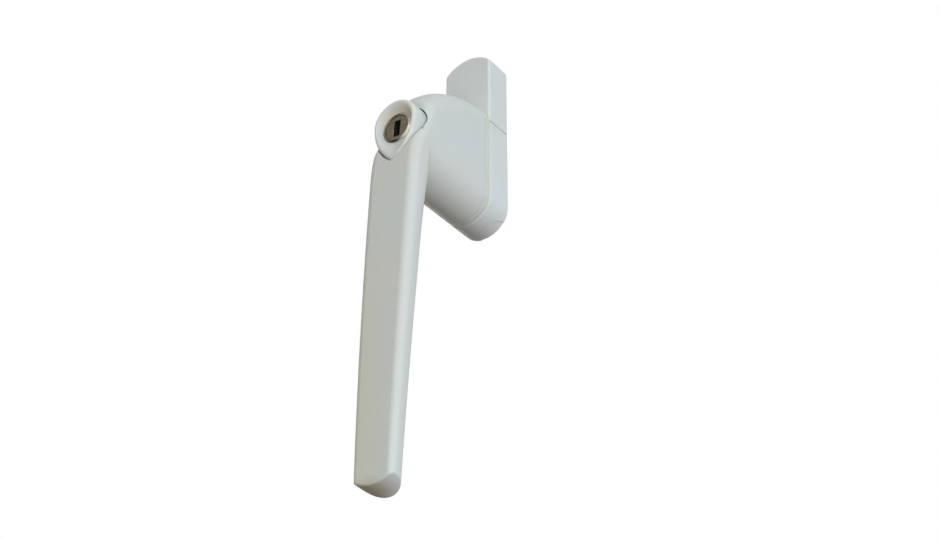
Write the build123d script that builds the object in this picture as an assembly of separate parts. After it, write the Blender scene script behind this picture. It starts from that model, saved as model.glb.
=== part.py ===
from build123d import *
import os
from math import cos, radians, sin, sqrt, tan

# Lockable espagnolette window handle: a slim base with a screw cover, a cranked-out lever and a
# push-in lock. Millimetres, +Z up. The wall (the sash's face) is the plane y = 0 and the handle
# stands out towards -Y. The origin is where the spindle axis meets the wall.
# A "depth" or "reach" below is a distance out from the wall.

# Driving dimensions of the base and its cover
base_width = 17.0
base_depth = 9.6
screw_pitch = 43.0
screw_hole = 5.2
screw_head = 9.4
cover_seam = 5.3
cover_side_top = 29.5
cover_top_radius = 11.5
cover_wall = 1.4
cover_fit = 0.1
cover_shoulder = 2.0
seam_gap = 0.2
seam_edge = 0.15
front_edge = 0.8
rail_rise = 0.7
rail_height = 1.6
rail_depth = 3.0
rail_length = 16.0
scoop_radius = 4.2
scoop_rise = 0.5
scoop_cut = 0.2
scoop_angle = 23.5

# Driving dimensions of the lever
glide_thickness = 1.9
glide_gap = 0.1
glide_peg = 1.8
glide_peg_length = 2.4
glide_peg_inset = 3.2
glide_edge = 0.25
neck_foot_top = 12.3
neck_foot_edge = 0.25
neck_fall = 8.3
neck_drop = 15.8
lean_start = 27.5
lean_top = 7.0
lean_setback = 6.5
arm_length = 127.0
arm_end_width = 12.7
arm_neck_depth = 10.8
arm_end_depth = 7.8
arm_neck_reach = 46.4
arm_bow = 3.4
arm_bow_power = 1.6
arm_taper_power = 1.3
arm_neck_corner = 2.8
arm_end_corner = 1.7
arm_flank = 0.4
arm_flank_fade = 30.0
arm_proud = 0.03
tip_radius = 10.5
tip_rake = 7.0
tip_edge = 0.5
tip_spare = 4.0
neck_stations = 7
arm_stations = 13

# Driving dimensions of the push button and its lock
lock_drop = 15.0
button_width = 14.8
button_rise = 1.4
button_side_radius = 16.5
button_chin_radius = 1.4
chin_share = 30.0
button_sink = 0.5
button_length = 8.0
button_edge = 1.1
button_lip = 1.7
button_dish_edge = 0.5
button_travel = 4.0
pocket_gap = 0.4
pocket_floor_gap = 0.4
keeper_thickness = 0.9
keeper_screw = 1.6
keeper_screw_length = 4.0
keeper_screw_angle = 52.0
barrel_diameter = 9.9
barrel_length = 18.8
barrel_recess = 1.65
barrel_end_wall = 2.0
barrel_round = 0.3
plug_diameter = 8.4
plug_length = 13.0
plug_edge = 0.15
keyway_width = 2.0
keyway_height = 5.2
keyway_drop = 0.2
keyway_depth = 11.4
wafer_count = 4
wafer_pitch = 2.4
wafer_thickness = 1.0
wafer_width = 4.4
wafer_height = 7.8
wafer_window = 3.0
lug_width = 3.0
lug_rise = 1.3
lug_length = 1.4
bolt_width = 2.2
bolt_thickness = 1.2
bolt_throw = 0.9
cam_thickness = 1.4
cam_diameter = 6.0
cam_flat = 1.8
cam_screw_head = 3.2
cam_screw_thread = 1.6
cam_screw_length = 3.0
locking_pin_diameter = 4.0
locking_pin_tip = 10.9
locking_hole_floor = 5.8
return_wire = 0.5
return_coil = 6.6
return_seat = 4.25
return_turns = 6

# Driving dimensions of the turning gear on the spindle axis
spindle_square = 7.0
spindle_depth = 18.0
follower_diameter = 11.8
follower_seat = 12.4
follower_tail = 1.3
follower_flat = 5.35
bush_wall = 1.0
gear_shelf = 4.4
disc_diameter = 14.0
disc_thickness = 1.6
disc_notch = 0.45
ball_diameter = 2.4
detent_wire = 0.35
detent_coil = 1.9
detent_turns = 5
back_plate_thickness = 0.8
back_plate_length = 32.0
back_plate_width = 8.0
back_plate_edge = 1.2
circlip_thickness = 0.8
circlip_groove = 0.45
circlip_width = 1.1
circlip_gap = 4.0

# Clearances
running_fit = 0.05
slide_fit = 0.1
easy_fit = 0.3

# Values worked out from the ones above
half_base = base_width / 2
low_screw = -screw_pitch / 2
high_screw = screw_pitch / 2
tongue_half = half_base - cover_wall - cover_fit
tongue_depth = base_depth - cover_wall - cover_fit
neck_rear = base_depth + glide_gap + glide_thickness
neck_far = arm_neck_reach - lean_setback
arm_end_reach = arm_neck_reach + arm_bow
arm_top = low_screw
follower_radius = follower_diameter / 2
bush_bore = follower_radius + running_fit
bush_outer = bush_bore + bush_wall
disc_radius = disc_diameter / 2
disc_far = gear_shelf - slide_fit
disc_near = disc_far - disc_thickness
gear_middle = (disc_near + disc_far) / 2
ball_radius = ball_diameter / 2
ball_height = disc_radius + running_fit + ball_radius
channel_end = back_plate_length / 2 - back_plate_edge
channel_floor = gear_middle + ball_radius + slide_fit
plate_radius = half_base - back_plate_edge + easy_fit
barrel_radius = barrel_diameter / 2
plug_radius = plug_diameter / 2
plug_bore = plug_radius + running_fit
button_reach = arm_neck_reach - button_sink
barrel_front = button_reach - barrel_recess
barrel_rear = barrel_front - barrel_length
barrel_end = barrel_rear + barrel_end_wall
plug_rear = barrel_front - plug_length
cam_rear = plug_rear - cam_thickness
button_rear = button_reach - button_length
keeper_front = button_rear - button_travel - pocket_floor_gap
pocket_floor = keeper_front - keeper_thickness
lug_front = pocket_floor - slide_fit
lock_bore_floor = neck_rear + return_seat
locking_pin_radius = locking_pin_diameter / 2
bolt_front = plug_rear - (cam_thickness - bolt_thickness) / 2


def front_plane(depth):
    """The plane parallel to the wall at this depth, seen from the front."""
    return Plane(origin=(0, -depth, 0), x_dir=(1, 0, 0), z_dir=(0, -1, 0))


def between(sketch, near, far):
    """A front-view sketch as a solid between two depths."""
    return extrude(front_plane(near) * sketch, amount=far - near)


def at_lock(shape):
    """Moves a front-view sketch from the spindle axis down to the lock axis."""
    return Pos(0, -lock_drop) * shape


def obround(half_width, low, high):
    """An upright slot with round ends between two heights."""
    slot = SlotOverall(high - low, 2 * half_width)
    return Pos(0, (low + high) / 2) * (Rot(0, 0, 90) * slot)


def band(low, high):
    """A wide front-view rectangle between two heights, for trimming."""
    return Pos(0, (low + high) / 2) * Rectangle(4 * base_width, high - low)


def arched_outline(inset):
    """The outline of base and cover: round below, a shallow arch with shoulders above."""
    half = half_base - inset
    arch = cover_top_radius - inset
    arch_centre = cover_side_top - sqrt(cover_top_radius**2 - half_base**2)
    shoulder = arch_centre + sqrt(arch**2 - half**2)
    outline = make_face(
        [
            ThreePointArc((-half, low_screw), (0, low_screw - half), (half, low_screw)),
            Line((half, low_screw), (half, shoulder)),
            ThreePointArc((half, shoulder), (0, arch_centre + arch), (-half, shoulder)),
            Line((-half, shoulder), (-half, low_screw)),
        ]
    )
    return fillet(outline.vertices().group_by(Axis.Y)[-1], cover_shoulder - inset)


def back_plate_outline(inset):
    """A round plate over the detent disc, with two arms over the spring channels."""
    arms = Rectangle(back_plate_width - 2 * inset, back_plate_length - 2 * inset)
    return Circle(plate_radius - inset) + arms


def coil(radius, wire, length, turns):
    """A compression spring from the origin along +Z."""
    rise = length - wire
    path = Helix(pitch=rise / turns, height=rise, radius=radius)
    section = Plane(origin=path @ 0, z_dir=path % 0) * Circle(wire / 2)
    return Pos(0, 0, wire / 2) * sweep(section, path=path, is_frenet=True)


def countersink(face_depth, hole, head, grow=1.0):
    """A screw hole's cone, opening towards the front at this depth."""
    sink = (head - hole) / 2
    cone = Cone(head / 2 + grow, hole / 2, sink + grow)
    return Pos(0, -face_depth + (sink - grow) / 2, 0) * (Rot(-90, 0, 0) * cone)


# The push button's outline, about the lock axis

def teardrop(inset, chin):
    """Round above, two long arcs down to a small chin; the inset draws it smaller."""
    half = button_width / 2 - inset
    side = button_side_radius - inset
    side_centre = button_side_radius - button_width / 2
    reach = side - chin
    chin_centre = button_rise - sqrt(reach**2 - side_centre**2)
    chin_x = chin * side_centre / reach
    chin_z = chin_centre - chin * (button_rise - chin_centre) / reach
    middle = (button_rise + chin_z) / 2
    middle_x = sqrt(side**2 - (button_rise - middle) ** 2) - side_centre
    return make_face(
        [
            ThreePointArc((half, button_rise), (0, button_rise + half), (-half, button_rise)),
            ThreePointArc((-half, button_rise), (-middle_x, middle), (-chin_x, chin_z)),
            ThreePointArc((-chin_x, chin_z), (0, chin_centre - chin), (chin_x, chin_z)),
            ThreePointArc((chin_x, chin_z), (middle_x, middle), (half, button_rise)),
        ]
    )


def four_arc_circle(radius):
    """A circle in the same four arcs as the teardrop, so that the two can be lofted."""
    def arc(start, end):
        return CenterArc((0, 0), radius, start, end - start)

    chin_start = 270 - chin_share / 2
    chin_end = 270 + chin_share / 2
    return make_face([arc(0, 180), arc(180, chin_start), arc(chin_start, chin_end), arc(chin_end, 360)])


def arm_section(height, reach, width, depth, corner, flank):
    """The arm cut across: a flat face, two rounded front edges, short flanks and an oval back."""
    half = width / 2
    front = -reach
    shoulder = front + corner
    rear = shoulder + flank
    turn = corner * (1 - sqrt(0.5))
    outline = [
        Line((corner - half, front), (half - corner, front)),
        ThreePointArc((half - corner, front), (half - turn, front + turn), (half, shoulder)),
        Line((half, shoulder), (half, rear)),
        EllipticalCenterArc((0, rear), half, depth - corner - flank, 0, arc_size=180),
        Line((-half, rear), (-half, shoulder)),
        ThreePointArc((-half, shoulder), (turn - half, front + turn), (corner - half, front)),
    ]
    return Plane.XY.offset(height) * make_face(outline)


def face_lean(height):
    """How far the lever's face has leaned back at this height, beside the button."""
    share = (height + lean_start) / (lean_start - lean_top)
    share = min(1.0, max(0.0, share))
    return lean_setback * (3 * share**2 - 2 * share**3)


def arm_station(height):
    """The arm's section at one height: it narrows, thins and bows out towards its end."""
    down = max(0.0, (-height - lean_start) / (arm_length - lean_start))
    bow = 1 - max(0.0, 1 - down) ** arm_bow_power
    reach = arm_neck_reach + bow * arm_bow - face_lean(height)
    width = base_width - down**arm_taper_power * (base_width - arm_end_width)
    depth = arm_neck_depth + down * (arm_end_depth - arm_neck_depth)
    corner = arm_neck_corner + down * (arm_end_corner - arm_neck_corner)
    # beside the neck the flanks reach back past its front end
    fade = max(0.0, 1 - (arm_top - height) / arm_flank_fade)
    flank = arm_flank + fade**2 * (reach - corner - arm_flank - neck_far + slide_fit)
    return arm_section(height, reach, width, depth, corner, flank)


def neck_crest(depth):
    """The height of the neck's top line at this depth: straight at first, then falling away."""
    share = (depth - neck_rear) / (arm_neck_reach - neck_rear)
    return neck_foot_top - neck_fall * share - neck_drop * share**3


def make_neck():
    """The deep neck from the foot to the nose, with its face leaning back beside the button."""
    half = half_base - arm_proud
    step = (arm_neck_reach - neck_rear) / (neck_stations - 1)
    sections = []
    for index in range(neck_stations):
        depth = neck_rear + step * index
        sections.append(front_plane(depth) * obround(half, low_screw - half, neck_crest(depth)))
    body = loft(sections)
    # the face in side view, and everything in front of it or where the arm takes over
    heights = [arm_top * (1 - index / neck_stations) for index in range(neck_stations + 1)]
    face_line = Spline([(face_lean(height) + arm_proud - arm_neck_reach, height) for height in heights])
    low = face_line @ 0
    high = face_line @ 1
    wide = 4 * base_width
    ahead = make_face(
        [
            face_line,
            Line((high.X, high.Y), (high.X, wide)),
            Line((high.X, wide), (-wide, wide)),
            Line((-wide, wide), (-wide, -wide)),
            Line((-wide, -wide), (-neck_far, -wide)),
            Line((-neck_far, -wide), (-neck_far, low.Y)),
            Line((-neck_far, low.Y), (low.X, low.Y)),
        ]
    )
    body -= extrude(Plane.YZ * ahead, amount=wide, both=True)
    rim = []
    for edge in body.edges():
        middle = edge @ 0.5
        in_front = middle.Y < -neck_far + slide_fit
        if in_front and middle.Z > arm_top + slide_fit and abs(middle.X) > half / 4:
            rim.append(edge)
    return fillet(rim, arm_neck_corner)


def make_arm():
    """The long arm, lofted through its sections and cut to an arch at a slight rake."""
    step = (arm_length + tip_spare + arm_top) / (arm_stations - 1)
    body = loft([arm_station(arm_top - step * index) for index in range(arm_stations)])
    tip_centre = tip_radius - arm_length
    below = Pos(0, tip_centre - tip_radius) * Rectangle(4 * tip_radius, 2 * tip_radius)
    below -= Pos(0, tip_centre) * Circle(tip_radius)
    rake = tan(radians(tip_rake))
    start = front_plane(arm_end_reach + tip_spare) * (Pos(0, tip_spare * rake) * below)
    body -= extrude(start, amount=4 * base_width, dir=(0, 1, -rake))
    end_height = tip_centre - tip_radius / 2
    end_edges = []
    for edge in body.edges():
        if (edge @ 0).Z < end_height and (edge @ 1).Z < end_height:
            end_edges.append(edge)
    return fillet(end_edges, tip_edge)


def make_lever():
    body = make_neck() + make_arm()
    rear_edges = body.edges().filter_by_position(Axis.Y, -neck_rear - 0.01, -neck_rear + 0.01)
    body = fillet(rear_edges, neck_foot_edge)
    # the pocket for the push button, and the bore behind it for the lock barrel
    pocket = at_lock(teardrop(-pocket_gap, button_chin_radius))
    body -= between(pocket, pocket_floor, base_width * 4)
    body -= between(at_lock(Circle(barrel_radius + running_fit)), lock_bore_floor, pocket_floor + 1)
    body -= between(at_lock(Circle(locking_pin_radius + running_fit)), 0, lock_bore_floor + 1)
    # slot for the barrel's lug, as long as the button's travel, and the keeper for the lock bolt
    lug_room = barrel_radius + lug_rise + slide_fit
    slot_height = lug_room
    slot = Pos(0, slot_height / 2) * Rectangle(lug_width + 2 * slide_fit, slot_height)
    body -= between(at_lock(slot), lug_front - lug_length - button_travel - slide_fit, pocket_floor + 1)
    keeper_height = barrel_radius + bolt_throw
    keeper = Pos(0, -keeper_height / 2) * Rectangle(bolt_width + 2 * slide_fit, keeper_height)
    keeper_far = bolt_front - button_travel + slide_fit
    body -= between(at_lock(keeper), keeper_far - bolt_thickness - 2 * slide_fit, keeper_far)
    for place in keeper_screw_places():
        screw_hole_outline = at_lock(Pos(*place) * Circle(keeper_screw / 2))
        body -= between(screw_hole_outline, pocket_floor - keeper_screw_length, pocket_floor + 1)
    # the seat of the spindle follower and the holes for the glide plate's pegs
    body -= between(Circle(follower_radius), 0, neck_rear + follower_seat)
    for height in glide_peg_heights():
        body -= between(Pos(0, height) * Circle(glide_peg / 2), 0, neck_rear + glide_peg_length)
    return body


def keeper_screw_places():
    """Two small screws beside the lug, in the upper part of the pocket floor."""
    spread = barrel_radius + keeper_screw
    across = spread * sin(radians(keeper_screw_angle))
    up = spread * cos(radians(keeper_screw_angle))
    return [(-across, up), (across, up)]


def glide_peg_heights():
    """One peg near each end of the glide plate."""
    return (neck_foot_top - glide_peg_inset, low_screw - half_base + glide_peg_inset)


def outer_front_edges(body, seam):
    """The outline's front edges of base or cover, without the ones along the seam."""
    edges = body.edges().filter_by_position(Axis.Y, -base_depth - 0.01, -base_depth + 0.01)
    return [edge for edge in edges if abs(edge.center().Z - seam) > seam_gap]


def outer_seam_edges(body, seam):
    """The edges along the seam that show: across the front and round to both sides."""
    near = cover_wall / 2
    edges = []
    for edge in body.edges().filter_by_position(Axis.Z, seam - 0.01, seam + 0.01):
        middle = edge @ 0.5
        if middle.Y < near - base_depth or abs(middle.X) > half_base - near:
            edges.append(edge)
    return edges


def make_base_plate():
    """The cast base: full depth below the cover's seam, a narrower tongue inside the cover."""
    high = 4 * screw_pitch
    body = between(arched_outline(0) & band(-high, cover_seam), 0, base_depth)
    body = fillet(outer_front_edges(body, cover_seam), front_edge)
    body = chamfer(outer_seam_edges(body, cover_seam), seam_edge)
    tongue = arched_outline(cover_wall + cover_fit) & band(cover_seam - 1, high)
    body += between(tongue, 0, tongue_depth)
    groove = band(cover_seam, high) & Rectangle(2 * (rail_rise + cover_fit), 4 * high)
    groove = between(groove, rail_depth - cover_fit, rail_depth + rail_height + cover_fit)
    for side in (-1, 1):
        body -= Pos(side * tongue_half, 0, 0) * groove
    for height, face in ((low_screw, base_depth), (high_screw, tongue_depth)):
        body -= Pos(0, 0, height) * between(Circle(screw_hole / 2), -1, face + 1)
        body -= Pos(0, 0, height) * countersink(face, screw_hole, screw_head)
    # the spindle bore, the room for the detent gear and the seat of the back plate
    body -= between(Circle(bush_outer), gear_shelf - 1, base_depth + 1)
    body -= between(Circle(disc_radius + easy_fit), -1, gear_shelf)
    body -= between(Rectangle(ball_diameter + 2 * slide_fit, 2 * channel_end), -1, channel_floor)
    body -= between(back_plate_outline(0), -1, back_plate_thickness)
    body -= between(at_lock(Circle(locking_pin_radius + easy_fit)), locking_hole_floor, base_depth + 1)
    # a shallow half-moon in the underside, against the wall, to lever the base off
    moon = Pos(0, -scoop_rise, -half_base) * Cylinder(scoop_radius, half_base)
    core = Rot(90, 0, 0) * Cylinder(half_base - scoop_cut, 4 * base_depth)
    body -= Pos(0, 0, low_screw) * (Rot(0, -scoop_angle, 0) * moon - core)
    return body


def make_screw_cover():
    """A shell over the base's tongue, open below and behind, with rails inside its cheeks."""
    high = 4 * screw_pitch
    low = cover_seam + seam_gap
    shell = between(arched_outline(0) & band(low, high), 0, base_depth)
    shell = fillet(outer_front_edges(shell, low), front_edge)
    shell = chamfer(outer_seam_edges(shell, low), seam_edge)
    hollow = between(arched_outline(cover_wall) & band(-high, high), -1, base_depth - cover_wall)
    body = shell - hollow - between(Circle(bush_outer + cover_fit), -1, base_depth + 1)
    cheek = half_base - cover_wall
    rail = Rectangle(2 * (rail_rise - cover_fit), rail_length)
    for side in (-1, 1):
        place = Pos(side * (cheek - cover_fit), low + rail_length / 2)
        rib = between(place * rail, rail_depth, rail_depth + rail_height)
        body += rib & between(arched_outline(cover_wall / 2) & band(low, high), 0, base_depth)
    return body


def make_glide_plate():
    """The slippery plate under the lever's foot, in the foot's outline, with two pegs."""
    low = low_screw - half_base
    body = between(obround(half_base, low, neck_foot_top), base_depth + glide_gap, neck_rear)
    rims = body.edges().filter_by_position(Axis.Y, -neck_rear - 0.01, -base_depth)
    body = fillet([edge for edge in rims if abs((edge @ 0).Y - (edge @ 1).Y) < 0.01], glide_edge)
    body -= between(Circle(follower_radius), 0, neck_rear + 1)
    body -= between(at_lock(Circle(locking_pin_radius + easy_fit)), 0, neck_rear + 1)
    for height in glide_peg_heights():
        peg = Pos(0, height) * Circle(glide_peg / 2)
        body += between(peg, neck_rear - glide_edge, neck_rear + glide_peg_length)
    return body


def make_spindle_follower():
    """The turned steel sleeve that the spindle fits: seated in the lever, turning in the base."""
    front = neck_rear + follower_seat
    body = between(Circle(follower_radius), disc_far, front)
    flats = Circle(follower_radius) & Rectangle(2 * follower_flat, 4 * follower_flat)
    body += between(flats, follower_tail, disc_far)
    socket = spindle_square + 2 * running_fit
    body -= between(Rectangle(socket, socket), 0, spindle_depth)
    groove = Circle(2 * follower_radius) - Circle(follower_radius - circlip_groove)
    body -= between(groove, disc_near - slide_fit - circlip_thickness, disc_near - slide_fit)
    return body


def make_detent_disc():
    """A keyed disc with four notches, one for each quarter turn."""
    flats = Rectangle(2 * (follower_flat + running_fit), 4 * follower_flat)
    hole = Circle(follower_radius + running_fit) & flats
    outline = Circle(disc_radius) - hole
    notch_centre = disc_radius - disc_notch + ball_radius
    for quarter in range(4):
        outline -= Rot(0, 0, 90 * quarter) * (Pos(0, notch_centre) * Circle(ball_radius))
    return between(outline, disc_near, disc_far)


def make_bearing_bush():
    return between(Circle(bush_outer) - Circle(bush_bore), gear_shelf, base_depth)


def make_detent_balls():
    balls = [Pos(0, -gear_middle, side * ball_height) * Sphere(ball_radius) for side in (-1, 1)]
    return Compound(balls)


def make_detent_springs():
    start = ball_height + ball_radius
    spring = coil(detent_coil / 2, detent_wire, channel_end - start, detent_turns)
    upper = Pos(0, -gear_middle, start) * spring
    lower = Pos(0, -gear_middle, -start) * (Rot(180, 0, 0) * spring)
    return Compound([upper, lower])


def make_back_plate():
    """The thin plate that closes the detent gear in, flush with the base's back."""
    outline = back_plate_outline(running_fit) - Circle(follower_radius)
    return between(outline, 0, back_plate_thickness)


def make_circlip():
    inner = follower_radius - circlip_groove
    outline = Circle(inner + circlip_width) - Circle(inner)
    outline -= Pos(0, -inner) * Rectangle(circlip_gap, 2 * inner)
    return between(outline, disc_near - slide_fit - circlip_thickness, disc_near - slide_fit)


def make_push_button():
    """The white button: a teardrop with a dished face, bored for the lock barrel."""
    body = between(at_lock(teardrop(0, button_chin_radius)), button_rear, button_reach)
    front_edges = body.edges().filter_by_position(Axis.Y, -button_reach - 0.01, -button_reach + 0.01)
    body = fillet(front_edges, button_edge)
    body -= loft(
        [
            front_plane(button_reach) * at_lock(teardrop(button_lip, button_chin_radius)),
            front_plane(barrel_front) * at_lock(four_arc_circle(barrel_radius + easy_fit)),
        ],
        ruled=True,
    )
    rim_face = body.faces().filter_by_position(Axis.Y, -button_reach - 0.01, -button_reach + 0.01)[0]
    body = fillet(rim_face.inner_wires()[0].edges(), button_dish_edge)
    body -= between(at_lock(Circle(barrel_radius)), 0, base_width * 4)
    return body


def front_rim(body):
    """The edges of a lock part at the barrel's front."""
    return body.edges().filter_by_position(Axis.Y, -barrel_front - 0.01, -barrel_front + 0.01)


def make_lock_barrel():
    """The metal sleeve of the lock: open in front for the plug, closed behind round the pin."""
    body = between(at_lock(Circle(barrel_radius)), barrel_rear, barrel_front)
    body = fillet(front_rim(body), barrel_round)
    lug_height = barrel_radius + lug_rise
    lug = Pos(0, lug_height / 2) * Rectangle(lug_width, lug_height)
    body += between(at_lock(lug), lug_front - lug_length, lug_front)
    body -= between(at_lock(Circle(plug_bore)), barrel_end, barrel_front + 1)
    body -= between(at_lock(Circle(locking_pin_radius)), 0, barrel_end + 1)
    slot = Pos(0, -barrel_radius) * Rectangle(bolt_width + 2 * slide_fit, 2 * barrel_radius)
    body -= between(at_lock(slot), bolt_front - bolt_thickness - slide_fit, bolt_front + slide_fit)
    return body


def make_lock_bolt():
    """The little bolt that the cam pushes down into the lever, drawn back in the barrel's slot."""
    inner = cam_diameter / 2 + slide_fit
    outer = barrel_radius - slide_fit
    shape = Pos(0, -(inner + outer) / 2) * Rectangle(bolt_width, outer - inner)
    return between(at_lock(shape), bolt_front - bolt_thickness, bolt_front)


def make_locking_pin():
    body = between(at_lock(Circle(locking_pin_radius)), locking_pin_tip, barrel_end)
    tip = body.edges().filter_by_position(Axis.Y, -locking_pin_tip - 0.01, -locking_pin_tip + 0.01)
    return chamfer(tip, locking_pin_radius / 4)


def make_return_spring():
    length = barrel_rear - lock_bore_floor
    spring = coil(return_coil / 2, return_wire, length, return_turns)
    return Pos(0, -lock_bore_floor, -lock_drop) * (Rot(90, 0, 0) * spring)


def wafer_fronts():
    """The front depth of each wafer, counted inwards from the keyway's mouth."""
    first = barrel_front - wafer_pitch
    return [first - wafer_pitch * index for index in range(wafer_count)]


def make_key_plug():
    body = between(at_lock(Circle(plug_radius)), plug_rear, barrel_front)
    body = chamfer(front_rim(body), plug_edge)
    keyway = Pos(0, -keyway_drop) * Rectangle(keyway_width, keyway_height)
    body -= between(at_lock(keyway), barrel_front - keyway_depth, barrel_front + 1)
    slot = Rectangle(wafer_width + 2 * running_fit, 2 * plug_diameter)
    for front in wafer_fronts():
        body -= between(at_lock(slot), front - wafer_thickness - running_fit, front + running_fit)
    body -= between(at_lock(Circle(cam_screw_thread / 2)), 0, plug_rear + cam_screw_length)
    return body


def make_wafers():
    blank = Circle(plug_radius - running_fit) & Rectangle(wafer_width, wafer_height)
    blank -= Pos(0, -keyway_drop) * Rectangle(wafer_window, keyway_height)
    wafers = [between(at_lock(blank), front - wafer_thickness, front) for front in wafer_fronts()]
    return Compound(wafers)


def make_lock_cam():
    """A disc with a flat: the flat faces the bolt until the key turns it."""
    radius = cam_diameter / 2
    outline = Circle(radius) - Pos(0, -radius - cam_flat) * Rectangle(2 * cam_diameter, 2 * radius)
    outline -= Circle(cam_screw_thread / 2)
    return between(at_lock(outline), cam_rear, plug_rear)


def make_cam_screw():
    head_thickness = cam_screw_head / 4
    head = between(at_lock(Circle(cam_screw_head / 2)), cam_rear - head_thickness, cam_rear)
    thread = between(at_lock(Circle(cam_screw_thread / 2)), cam_rear, plug_rear + cam_screw_length)
    return head + thread


def make_keeper_plate():
    """The plate on the pocket's floor that keeps the barrel's lug in."""
    outline = teardrop(running_fit - pocket_gap, button_chin_radius)
    outline -= Circle(barrel_radius + running_fit)
    for place in keeper_screw_places():
        outline -= Pos(*place) * Circle(keeper_screw / 2 + slide_fit)
    return between(at_lock(outline), pocket_floor, keeper_front)


def make_keeper_screws():
    screws = []
    for place in keeper_screw_places():
        shank = at_lock(Pos(*place) * Circle(keeper_screw / 2))
        screws.append(between(shank, pocket_floor - keeper_screw_length, keeper_front))
    return Compound(screws)


def main():
    parts = {
        "base_plate": make_base_plate(),
        "bearing_bush": make_bearing_bush(),
        "detent_balls": make_detent_balls(),
        "detent_springs": make_detent_springs(),
        "back_plate": make_back_plate(),
        "screw_cover": make_screw_cover(),
        "lever": make_lever(),
        "glide_plate": make_glide_plate(),
        "spindle_follower": make_spindle_follower(),
        "detent_disc": make_detent_disc(),
        "circlip": make_circlip(),
        "keeper_plate": make_keeper_plate(),
        "keeper_screws": make_keeper_screws(),
        "return_spring": make_return_spring(),
        "push_button": make_push_button(),
        "lock_barrel": make_lock_barrel(),
        "lock_bolt": make_lock_bolt(),
        "locking_pin": make_locking_pin(),
        "key_plug": make_key_plug(),
        "wafers": make_wafers(),
        "lock_cam": make_lock_cam(),
        "cam_screw": make_cam_screw(),
    }
    os.makedirs("parts", exist_ok=True)
    for name, shape in parts.items():
        export_step(shape, f"parts/{name}.step")


if __name__ == "__main__":
    main()
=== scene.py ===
import bpy
import bmesh
import math
from mathutils import Matrix, Vector


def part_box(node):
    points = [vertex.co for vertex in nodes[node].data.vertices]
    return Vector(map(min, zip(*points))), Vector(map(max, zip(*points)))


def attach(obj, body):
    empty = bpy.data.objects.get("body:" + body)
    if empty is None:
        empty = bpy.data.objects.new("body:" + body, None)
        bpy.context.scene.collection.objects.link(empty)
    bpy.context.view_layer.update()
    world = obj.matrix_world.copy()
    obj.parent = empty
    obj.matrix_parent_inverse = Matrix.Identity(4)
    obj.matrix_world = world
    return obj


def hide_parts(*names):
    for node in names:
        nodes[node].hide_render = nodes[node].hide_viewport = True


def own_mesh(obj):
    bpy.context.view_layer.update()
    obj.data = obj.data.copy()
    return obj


# Lockable window handle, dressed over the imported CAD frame. Metres, +Z up, -Y out from the sash.
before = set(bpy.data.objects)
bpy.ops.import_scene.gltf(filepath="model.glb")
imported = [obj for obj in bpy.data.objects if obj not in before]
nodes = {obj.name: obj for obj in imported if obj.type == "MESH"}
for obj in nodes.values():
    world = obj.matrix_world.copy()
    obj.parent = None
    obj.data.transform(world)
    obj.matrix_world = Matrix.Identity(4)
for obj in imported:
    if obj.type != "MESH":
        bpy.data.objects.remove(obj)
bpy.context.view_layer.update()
scene = bpy.context.scene
scene.view_settings.view_transform = "Standard"
mm = 0.001
spindleAxis = (0, 0, 0)
lockAxis = (0, 0, -15.0 * mm)
print("frame:", len(nodes), "nodes")


def inMm(*figures):
    return tuple(figure * mm for figure in figures)


# camera: below the handle and to its right
viewpoint = {
    "place": (0.21688, -0.31567, -0.27259),
    "right": (0.81846, 0.57456, 0.00258),
    "up": (0.29575, -0.42515, 0.85544),
    "back": (0.49260, -0.69938, -0.51789),
    "lens": 57.445,
    "sensor": 36,
    "clipStart": 0.01,
}


def placeCamera():
    data = bpy.data.cameras.new("camera")
    data.sensor_width = viewpoint["sensor"]
    data.lens = viewpoint["lens"]
    data.clip_start = viewpoint["clipStart"]
    camera = bpy.data.objects.new("camera", data)
    turn = Matrix((viewpoint["right"], viewpoint["up"], viewpoint["back"])).transposed()
    camera.matrix_world = Matrix.Translation(viewpoint["place"]) @ turn.to_4x4()
    scene.collection.objects.link(camera)
    scene.camera = camera


# small helpers for node trees

def feed(tree, socket, value):
    # a number, a colour or another node's output goes into a socket
    if isinstance(value, bpy.types.NodeSocket):
        tree.links.new(value, socket)
    else:
        socket.default_value = value


def put(tree, kind, settings=None, **inputs):
    # adds a shader node; an underscore stands for a space, and in0, in1 for unnamed inputs
    node = tree.nodes.new("ShaderNode" + kind)
    for key, value in (settings or {}).items():
        setattr(node, key, value)
    for key, value in inputs.items():
        numbered = key.startswith("in") and key[2:].isdigit()
        feed(tree, node.inputs[int(key[2:]) if numbered else key.replace("_", " ")], value)
    return node


def calc(tree, operation, first, second=0.0):
    return put(tree, "Math", {"operation": operation}, in0=first, in1=second).outputs[0]


def vectorCalc(tree, operation, first, second):
    return put(tree, "VectorMath", {"operation": operation}, in0=first, in1=second).outputs[0]


def along(tree, vector, direction):
    # how far a vector reaches in a direction
    return put(tree, "VectorMath", {"operation": "DOT_PRODUCT"}, in0=vector, in1=direction).outputs["Value"]


def split(tree, vector):
    return put(tree, "SeparateXYZ", Vector=vector).outputs


def mapped(tree, vector, **change):
    return put(tree, "Mapping", Vector=vector, **change).outputs[0]


def noise(tree, vector, scale, detail, **more):
    return put(tree, "TexNoise", Vector=vector, Scale=scale, Detail=detail, **more).outputs[0]


def blendColor(tree, factor, first, second):
    node = tree.nodes.new("ShaderNodeMix")
    node.data_type = "RGBA"
    for label, value in (("Factor", factor), ("A", first), ("B", second)):
        socket = [s for s in node.inputs if s.name == label and s.enabled][0]
        feed(tree, socket, (*value[:3], 1) if isinstance(value, (tuple, list)) else value)
    return [s for s in node.outputs if s.enabled][0]


def stainAndLight(tree, color, mask, share, overColor):
    # a second colour lies over the colour where the mask is, as strongly as its share; it serves stains and
    # wear, and painted shade and highlights too
    return blendColor(tree, calc(tree, "MULTIPLY", mask, share), color, overColor)


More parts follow.
